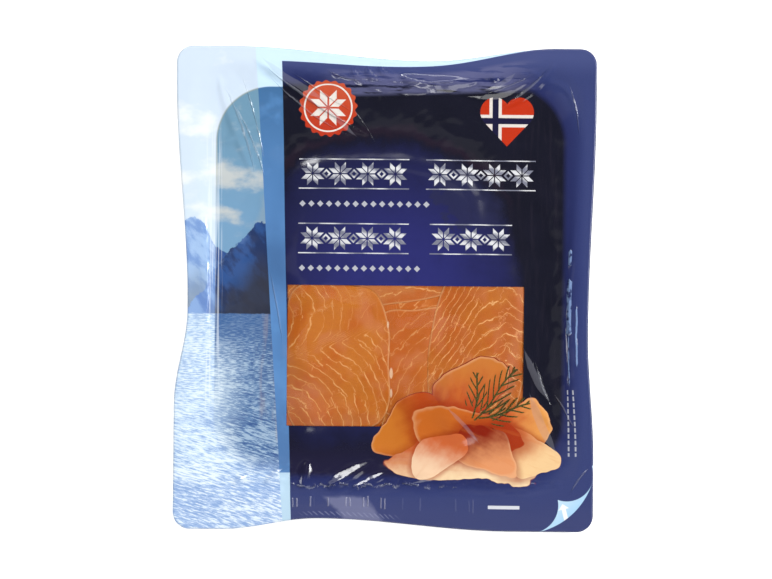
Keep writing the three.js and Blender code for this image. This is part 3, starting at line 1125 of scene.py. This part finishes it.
# %% [markdown]
# The badge is a seal with a scalloped edge and the same eight-petalled star. A sine of the angle
# about its middle makes the scallops. The heart is two circles over a point, one half of it
# drawn and the other its mirror image, with the cross of the fish's homeland on it.

# %% Badge and heart
badge_x = x + 27.9
badge_y = y - 86.2
badge_away = root_of_squares(badge_x, badge_y)
badge_turn = film.math("ARCTAN2", badge_y, badge_x)
scallop = badge_away - 0.55 * film.math("SINE", badge_turn * 20.0)
on_badge = step(scallop, 13.6, 13.35)
ring = step(abs(badge_away - 11.3), 0.45, 0.3)
rose = eight_petals(badge_x, badge_y, 9.0)
badge = layers(
    ink(190, 54, 26),
    (step(badge_y, -12, 13), ink(204, 88, 58)),
    (most(ring, rose), ink(236, 228, 220)),
)

heart_x = abs(x - 57.5)
heart_y = y - 68.5
lobe = root_of_squares(heart_x - 5.8, heart_y - 16.3)
slope = step(0.725 * heart_x - 0.688 * heart_y, 0.12, -0.12)
on_heart = most(step(lobe, 7.1, 6.88), slope * step(heart_y, 12.3, 12.1))
to_cross = least(abs(x - 52.0), abs(y - 80.6))
heart = layers(
    ink(196, 54, 26),
    (step(to_cross, 3.05, 2.85), ink(232, 222, 214)),
    (step(to_cross, 1.55, 1.35), ink(34, 32, 62)),
)
panel = layers(panel, (on_badge, badge), (on_heart, heart))
report("badge and heart")

# %% [markdown]
# ## Folded fish and a sprig
# The picture that laps over the window is a serving suggestion: folded slices and a herb. A
# fold is an oval with light on its lip and a warm shadow in its throat, and each one laid over
# the last throws a soft shadow on it.

# %% Folded slices
Fold = namedtuple("Fold", "x y long wide turn lit lip throat")
FOLDS = (
    Fold(41, -47, 16, 15, 70, 95, (200, 120, 54), (182, 68, 34)),
    Fold(66, -65, 17, 12, 35, 0, (232, 158, 84), (192, 80, 36)),
    Fold(13, -65, 18, 11.5, 28, 200, (210, 122, 44), (182, 74, 26)),
    Fold(43, -81, 38, 13, -3, -82, (250, 222, 178), (200, 96, 48)),
    Fold(66, -77, 17, 10, -20, -60, (246, 206, 152), (214, 122, 70)),
    Fold(37, -67, 27, 12, -14, 130, (206, 108, 40), (166, 56, 26)),
    Fold(47, -76, 17, 11, -28, -75, (230, 154, 104), (138, 36, 20)),
    Fold(26, -79, 14, 9, 52, -110, (246, 208, 172), (212, 106, 58)),
)


def along_line(from_x, from_y, degrees):
    """How far a point lies from a place, measured in this direction."""
    turn = math.radians(degrees)
    return (x - from_x) * math.cos(turn) + (y - from_y) * math.sin(turn)


mottle = noise(spot, 0.2, 3.0)
drift = noise(spot, 0.07, 2.0) - 0.5
served = x * 0
outlined = served
meal = ink(200, 105, 50)
for number, fold in enumerate(FOLDS):
    u = along_line(fold.x, fold.y, fold.turn) / fold.long
    v = along_line(fold.x, fold.y, fold.turn + 90) / fold.wide
    bent_u = u + 0.16 * film.math("SINE", v * 2.4 + number) + 0.5 * drift
    bent_v = v + 0.2 * film.math("SINE", u * 2.6 + 1.7 * number) - 0.5 * drift + 0.05 * wander
    away = root_of_squares(bent_u, bent_v)
    on_fold = step(away, 1.01, 0.99)
    shadow = step(away, 1.3, 0.96)
    towards = along_line(fold.x, fold.y, fold.lit) / min(fold.long, fold.wide)
    grained = stretched(1.2 / fold.long, 5 / fold.wide, 3 * number, fold.turn)
    streak = noise(grained, 1.0, 3.0) - 0.5
    light = step(towards + 0.5 * streak + 0.8 * (mottle - 0.5), -0.9, 0.95)
    face = layers(
        ink(*fold.throat),
        (light, ink(*fold.lip)),
        (step(streak, 0.02, 0.3) * 0.3, ink(214, 118, 52)),
        (step(away, 0.9, 1.0) * light * 0.25, ink(250, 216, 170)),
    )
    meal = layers(meal, (shadow * 0.55, ink(158, 50, 22)), (on_fold, face))
    served = most(served, on_fold)
    outlined = most(outlined, step(away, 1.03, 1.01))
meal = paint(served, ink(168, 58, 34), meal)
report("folded slices")

# %% [markdown]
# A frond of dill could be drawn leaflet by leaflet. Here the plane is folded at the stem, and
# slanting stripes on it become leaflets, moved along by half a step on one hand so that they
# alternate.


# %% Herb sprig
def frond(root_x, root_y, turn, length, spread):
    """A bent stem whose leaflets slant forward, left and right by turns, and shorten at the tip."""
    u = along_line(root_x, root_y, turn)
    v = along_line(root_x, root_y, turn + 90) + 0.9 * film.math("SINE", u * 0.2)
    side = abs(v)
    other_hand = step(v, -0.01, 0.01) * 2.1
    stem = step(side, 0.5, 0.34)
    curl = side * 1.5 + 0.05 * side * side
    slant = film.math("PINGPONG", u - curl + other_hand + 1.6 * wander, 2.6)
    leaflet = step(slant, 0.8, 0.56) * step(side, spread, spread - 0.8)
    taper = step(side / spread + u / length, 1.45, 1.35)
    along = step(u, -0.2, 0.2) * step(u, length, length - 0.5)
    return most(stem, leaflet * taper * step(u, 5, 6)) * along


FRONDS = ((43, -62, 50, 32, 8.0), (42, -61, 82, 22, 6.0), (45, -61, 14, 26, 6.5))
sprig = reduce(most, (frond(*each) for each in FRONDS))
green = paint(step(grain, 0.35, 0.65), ink(52, 48, 26), ink(92, 92, 50))
report("sprig")

# %% [markdown]
# One corner is turned up to start the peel: three arcs and a straight edge bound it, and an
# arrow points the way. The window is a plain rectangle where nothing is printed, apart from the
# folded fish that laps over it.

# %% Peel corner, rules and window
corner_tab = (
    step(root_of_squares(x - 87.4, y + 87.7), 12.6, 12.8)
    * step(root_of_squares(x - 70.3, y + 102.4), 13.1, 13.3)
    * step(root_of_squares(x - 66, y + 80.9), 35.25, 35.05)
    * step(x - y, 182.8, 183.0)
)
tab = paint(step(x - y, 184, 200), ink(196, 226, 246), ink(168, 212, 246))
arrow_x = (x - 86.4) * 0.97 + (y + 105.4) * 0.24
arrow_y = (y + 105.4) * 0.97 - (x - 86.4) * 0.24
shaft = step(abs(arrow_x), 1.1, 0.9) * step(abs(arrow_y + 1.2), 3.4, 3.2)
tip = step(abs(arrow_x) + arrow_y - 1.4, 2.6, 2.4) * step(arrow_y, 1.2, 1.4)
tab = paint(most(shaft, tip), tab, ink(246, 250, 253))

short_rule = step(abs(x - 57.5), 7.6, 7.4) * step(abs(y + 103.6), 0.9, 0.75)
side_rules = most(step(abs(x - 88.3), 0.5, 0.3), step(abs(x - 91.6), 0.5, 0.3)) * 0.8
side_breaks = step(film.math("PINGPONG", y + 47, 1.5), 0.35, 0.55)
side_rules = side_rules * side_breaks * step(abs(y + 63), 16.2, 16.0)
rules = most(short_rule, side_rules * 0.75)
panel = layers(panel, (corner_tab, tab), (rules, ink(218, 220, 228)))

window = step(abs(x - 10), 56.45, 56.2) * step(abs(y + 32), 33.7, 33.45)
on_meal = most(served, outlined * window)
printed = layers(picture, (on_panel, panel), (on_meal, meal), (sprig, green))
clear = window * (1 - most(outlined, sprig))
report("window")

# %% [markdown]
# ## The film's surface
# The film is glossy and nearly smooth, with the fine pebble of the heat seal in the rim. The
# finest creases are narrower than a cell of the lattice, so they are relief in the finish. Each
# has a start, an end, how far it bends aside between them, and half its width.

# %% Fine creases
seal = step(past_card, 8, 12)
pebble = noise(spot, 2.2, 2.0)


def fine_crease(start, end, sag, width):
    """A thin crease from start to end that bends aside by sag halfway, and dies away at both ends."""
    span = math.dist(start, end)
    along_x = (end[0] - start[0]) / span
    along_y = (end[1] - start[1]) / span
    u = ((x - start[0]) * along_x + (y - start[1]) * along_y) / span
    v = (y - start[1]) * along_x - (x - start[0]) * along_y - 4 * sag * u * (1 - u) + 1.2 * wander
    fullness = step(abs(u - 0.5), 0.5, 0.15)
    return most(fullness * width - abs(v), 0.0)


FINE_CREASES = (
    ((-62, 109.6), (-10, 74), -2.0, 0.9),
    ((-58, 104), (-16, 72), -3.0, 0.7),
    ((-48, 106), (-12, 82), -1.0, 0.6),
    ((-17, 87), (-5, 69), 0.8, 0.35),
    ((-79, 99), (-62, 51.6), 2.0, 0.8),
    ((-76, 92), (-57, 48), 2.5, 0.6),
    ((-70, 104), (-58, 60), 1.0, 0.5),
    ((-30, 108), (-8, 100), -1.5, 0.6),
    ((77, 106), (57, 88.5), 1.2, 0.9),
    ((70, 104), (46, 93), 1.2, 0.6),
    ((86, 100), (92, 70), 1.5, 0.5),
    ((80, -48), (92, -68), 0.8, 0.7),
    ((99, -83), (88, -98.7), -0.8, 0.6),
    ((72, -34), (80, -56), -0.8, 0.8),
    ((-56, 12), (-48, -30), 0.8, 0.6),
)
creases = reduce(most, (fine_crease(*line) for line in FINE_CREASES))
gathered = y + 93.8 - 0.9 * film.math("SINE", x * 0.55 + 16 * wander) - 5 * wander
stitch_gate = step(noise(stretched(1, 0.001, 3), 0.3, 2.0), 0.42, 0.54)
stitch = most(0.75 - abs(gathered), 0.0) * stitch_gate * step(x, -46, -40) * step(x, 50, 2)
creases = most(creases, stitch * 1.2)
report("fine creases")

# %% [markdown]
# Along the right rim the film stands up in two ragged ridges, and along the foot the weld has
# pressed bars. Both are relief as well, with a little pale tint painted where they catch the light.
# A few broader creases have no relief of their own: there a painted highlight lies along them.

# %% Ridges and bars on the rim
streak_width = 2.1 * step(abs(y + 8), 14, 12) + 1.4 * step(abs(y - 15.5), 4.5, 3)
streak_width = streak_width + 0.7 * step(abs(y + 32), 15, 11)
ragged = noise(stretched(1, 0.6, 9), 0.7, 3.0) - 0.5
tall_streak = most(streak_width - abs(x - 89.7 - 1.2 * wander), 0.0)
thin_streak = most(0.7 * step(abs(y + 22), 16, 12) - abs(x - 94.4 - wander), 0.0)
streaked = step(tall_streak, 0.0, 0.5) * step(ragged, -0.14, 0.06)
streaked = streaked + step(thin_streak, 0.1, 0.5)
rim_streak = most(tall_streak * 9 + step(tall_streak, 0, 1) * 5 * ragged, thin_streak * 7)
bar_run = film.math("PINGPONG", x + 1.5 * wander, 4.2)
bar_ends = step(abs(y + 103.2 + 6 * wander), 4.0, 2.8) * step(abs(x - 2), 48, 44)
bar_gate = step(noise(stretched(1, 0.001, 40), 0.12, 1.0), 0.44, 0.54)
bar_gate = bar_gate * (0.25 + 0.75 * step(x, 12, 2))
bars = step(abs(bar_run - 0.95), 0.5, 0.1) * bar_ends * bar_gate
pressed = pebble * (0.1 + 0.5 * seal) + 7 * bars + 13 * creases + rim_streak
# Broad creases painted pale along their length, with no relief: painted highlights.
FOLD_HIGHLIGHTS = (
    ((66, -26), (80.5, -55), -1.5, 1.8),
    ((69, -47), (84, -80), -1.5, 2.2),
    ((62, 106), (47, 94), 1.0, 1.6),
    ((-34, 96), (-12, 71), -2.0, 1.5),
    ((-62, 112), (-26, 88), -1.5, 1.9),
    ((28, -54), (47, -75), 0.6, 1.1),
)
fold_highlight = reduce(most, (fine_crease(*line) for line in FOLD_HIGHLIGHTS))
printed = layers(
    printed,
    (step(fold_highlight, 0.0, 0.5) * 0.2, ink(160, 160, 172)),
    (bars * 0.5, ink(170, 172, 200)),
    (streaked * 0.6, ink(160, 190, 238)),
    # A faint pale tint along the fine creases: a painted highlight.
    (step(creases, 0.1, 0.7) * 0.16, ink(210, 214, 228)),
)
report("relief")

# %% [markdown]
# In the window there is no ink: there the film is a clear skin that only reflects. How much it
# reflects grows as it is seen more edge-on, and the fifth power of the lean is the usual short
# form of that law. The ink and the skin are mixed by the mask of the window.

# %% Film surface
SEEN_FLAT_ON = 0.03
dull = 0.1 + 0.1 * seal + 0.06 * (blotch - 0.5)
inked = film.gloss(printed, dull, Normal=film.relief(pressed, 0.00005), IOR=1.45)
nothing = film.node("ShaderNodeBsdfTransparent")
gleam = film.node("ShaderNodeBsdfGlossy", inputs={"Roughness": 0.09})
leaning = Number(film, film.node("ShaderNodeLayerWeight", inputs={"Blend": 0.5}, result="Facing"))
mirrored = SEEN_FLAT_ON + (1 - SEEN_FLAT_ON) * film.math("POWER", leaning, 5.0)
film.cover(printed_film.data, film.blend(clear, inked, film.blend(mirrored, nothing, gleam)))
report("printed film")

# %% [markdown]
# The lower film is the same clear film without print. It is seen from below and where it stands
# out past the upper one. Part milk and part nothing at all is the quickest way to a clear film.

# %% Clear lower film
back = Finish("clear_film")
let_through = back.node("ShaderNodeBsdfTransparent", inputs={"Color": (0.96, 0.97, 0.98, 1)})
haze = back.noise(back.node("ShaderNodeTexCoord", result="Object"), 60.0)
milk = back.gloss(back.paint(haze, shade(205, 216, 226), shade(226, 234, 240)), 0.15)
back.cover(clear_film.data, back.blend(0.12 + 0.1 * haze, let_through, milk))
print("the clear film's finish has", len(back.tree.nodes), "nodes")

# %% [markdown]
# ## The card
# The card is gold foil below and black above, on one solid. The way a face points tells the two
# apart, so no second piece is needed.

# %% Card
card = Finish("gold_card")
weave = card.noise(card.node("ShaderNodeTexCoord", result="Object"), 400.0)
normal = card.node("ShaderNodeNewGeometry", result="Normal")
up = Number(card, card.node("ShaderNodeSeparateXYZ", inputs={"Vector": normal}, result="Z"))
face_up = card.step(up, 0.3, 0.6)
gold = card.paint(weave, shade(186, 150, 84), shade(206, 172, 104))
black = card.paint(weave, shade(20, 20, 24), shade(28, 28, 33))
foiled = 0.7 * (1 - face_up)
board = card.gloss(card.paint(face_up, gold, black), 0.3 + 0.1 * weave, Metallic=foiled)
card_node = next(o for o in scene.objects if o.type == "MESH" and o.name.startswith("card"))
card_node.data.materials.clear()
card.cover(card_node.data, board)
print("card painted on", card_node.name)

# %% [markdown]
# ## Salmon
# Smoked salmon is orange and moist, and its fat shows as pale lines between the flakes of
# muscle. The lines bend with the cut: arcs, chevrons about the fish's midline, or slants. So
# each slice is given a smooth field that grows across its lines, and a line is drawn wherever
# that field, counted in lines, is halfway between two whole numbers.


# %% Salmon finish
FAT_SPOTS = (
    (3.3, -40, 0.9, 3.0, 0.7),
    (3.4, -49.5, 0.7, 2.6, 0.6),
    (1.6, -17, 0.6, 2.0, 0.6),
)


def salmon(name, field, pitch, pale, fresh, warm, seed):
    """Paints one slice, with fat lines this far apart and this pale, in two tones of flesh."""
    flesh = Finish("salmon_" + name)
    place = flesh.node("ShaderNodeNewGeometry", result="Position")
    parts = flesh.node("ShaderNodeSeparateXYZ", inputs={"Vector": place})
    x = Number(flesh, parts.node.outputs["X"]) * 1000
    y = Number(flesh, parts.node.outputs["Y"]) * 1000
    here = flesh.vector(x, y, seed)
    bend = flesh.noise(here, 0.05, 3.0) - 0.5
    twitch = flesh.noise(here, 0.32, 3.0) - 0.5
    warped = flesh.vector(x + 9 * twitch + 10 * bend, y + 9 * twitch - 12 * bend, seed)
    flake = {"Vector": warped, "Scale": 0.085}
    edge = flesh.node("ShaderNodeTexVoronoi", {"feature": "DISTANCE_TO_EDGE"}, flake)
    patch = flesh.node("ShaderNodeTexVoronoi", {"feature": "F1"}, flake, result="Color")
    split = flesh.node("ShaderNodeSeparateXYZ", inputs={"Vector": patch}, result="X")
    jog = Number(flesh, split) - 0.5
    run, reach = field(flesh, x, y)
    phase = (run + 10 * bend + 2.2 * twitch) / pitch + 0.4 * jog
    near_line = abs(flesh.math("FRACT", phase) - 0.5)
    strength = flesh.step(flesh.noise(here, 0.11, 3.0), 0.28, 0.46) * reach
    width = 0.03 + 0.1 * flesh.step(flesh.noise(here, 0.2, 2.0), 0.42, 0.8)
    line = flesh.step(near_line, width, width * 0.45) * strength
    halo = flesh.step(near_line, 0.3, 0.0) * strength
    veined = flesh.step(flesh.noise(here, 0.15, 3.0), 0.48, 0.6)
    vein = flesh.step(Number(flesh, edge), 0.03, 0.0) * veined
    tone = flesh.noise(here, 0.045, 3.0)
    fine = flesh.noise(flesh.vector(x * 0.5, y * 1.5, seed), 0.9, 4.0, 0.65)
    deep = flesh.step(flesh.noise(here, 0.1, 2.0), 0.46, 0.7)
    pink = flesh.step(flesh.noise(flesh.vector(x, y, seed + 20), 0.07, 2.0), 0.5, 0.7)
    lower_left = flesh.step(flesh.root_of_squares(x + 50, y + 62), 40, 6)
    # Paler along the cut edge: a painted highlight.
    cut_highlight = flesh.step(flesh.attribute("from_cut"), 1.1, 0.1) * flesh.step(tone, 0.4, 0.56)

    def fat_spot(spot_x, spot_y, wide, tall, full):
        away = flesh.root_of_squares((x - spot_x) / wide, (y - spot_y) / tall)
        return flesh.step(away, 1.0, full)

    fat = reduce(flesh.most, (fat_spot(*spot) for spot in FAT_SPOTS))
    colour = flesh.layers(
        ink(*fresh),
        (flesh.step(tone, 0.36, 0.64), ink(*warm)),
        (deep * 0.7, ink(198, 94, 4)),
        (flesh.step(fine, 0.4, 0.75) * 0.25, ink(186, 86, 8)),
        (pink * 0.5, ink(209, 124, 76)),
        (lower_left * 0.45, ink(200, 112, 84)),
        (halo * 0.22 * pale, ink(222, 140, 50)),
        (vein * 0.6 * pale, ink(232, 158, 92)),
        (line * 0.9 * pale, ink(242, 178, 110)),
        (cut_highlight * 0.5, ink(242, 184, 122)),
        (fat * 0.8, ink(244, 206, 170)),
    )
    relief = flesh.relief(line * 0.5 + vein * 0.4 + fine * 0.4, 0.0001)
    moist = flesh.gloss(colour, 0.3 + 0.14 * fine, Normal=relief, IOR=1.38)
    flesh.cover(slices[name].data, moist)


print("fat spots where two slices meet:", len(FAT_SPOTS))

# %% [markdown]
# ## Which way the lines run
# Each field is a formula for how far a point is across the lines, and how strong they are there.
# The slices at the left and in the middle share small rings above a V of arcs at the midline.
# The one at the right has slants that steepen and turn over, and the slice at the head and the
# stack below have wide arcs.


# %% Fields and recipes
def arcs(centre_x, centre_y, reach):
    """Rings about a place, which fade beyond this distance from it."""

    def field(flesh, x, y):
        away = flesh.root_of_squares(x - centre_x, y - centre_y)
        return away, flesh.step(away, reach + 6, reach - 4)

    return field


def left_lines(flesh, x, y):
    """Small rings in the upper left, and below them arcs that meet in a V at the fish's midline."""
    mirrored = 3.3 - abs(x - 3.3)
    low = flesh.root_of_squares(mirrored + 52, y + 70)
    high = flesh.root_of_squares(x + 54, y + 14)
    upper = flesh.step(y - 0.35 * (x + 20), -26, -20) * flesh.step(x, 8, 0)
    strength = 1 - 0.85 * upper * flesh.step(x, -26, -12)
    return low + upper * (high - low), strength


def right_lines(flesh, x, y):
    """Slants that steepen to the left and turn over at the right."""
    run = y - 0.65 * (x - 58) + 0.9 * flesh.most(45 - x, 0.0) + 1.45 * flesh.most(x - 58, 0.0)
    return run * 0.72, flesh.step(x, 14, 26)


RECIPES = {
    "slices_below": (arcs(-40, 0, 90), 7.0, 0.5, (200, 104, 14), (188, 92, 10), 1.0),
    "slice_foot": (left_lines, 4.4, 0.75, (204, 112, 24), (199, 100, 10), 2.0),
    "slice_head": (arcs(20, -60, 90), 7.0, 0.8, (200, 118, 54), (192, 104, 40), 5.0),
    "slice_middle": (left_lines, 5.0, 0.7, (204, 112, 28), (200, 102, 12), 4.0),
    "slice_flap": (left_lines, 5.0, 0.5, (200, 107, 22), (195, 96, 12), 7.0),
    "slice_right": (right_lines, 4.2, 1.0, (197, 110, 20), (189, 94, 6), 3.0),
    "slice_left": (left_lines, 4.4, 0.85, (205, 117, 24), (199, 102, 10), 6.0),
}
for name, recipe in RECIPES.items():
    salmon(name, *recipe)
print("salmon finishes:", len(RECIPES))
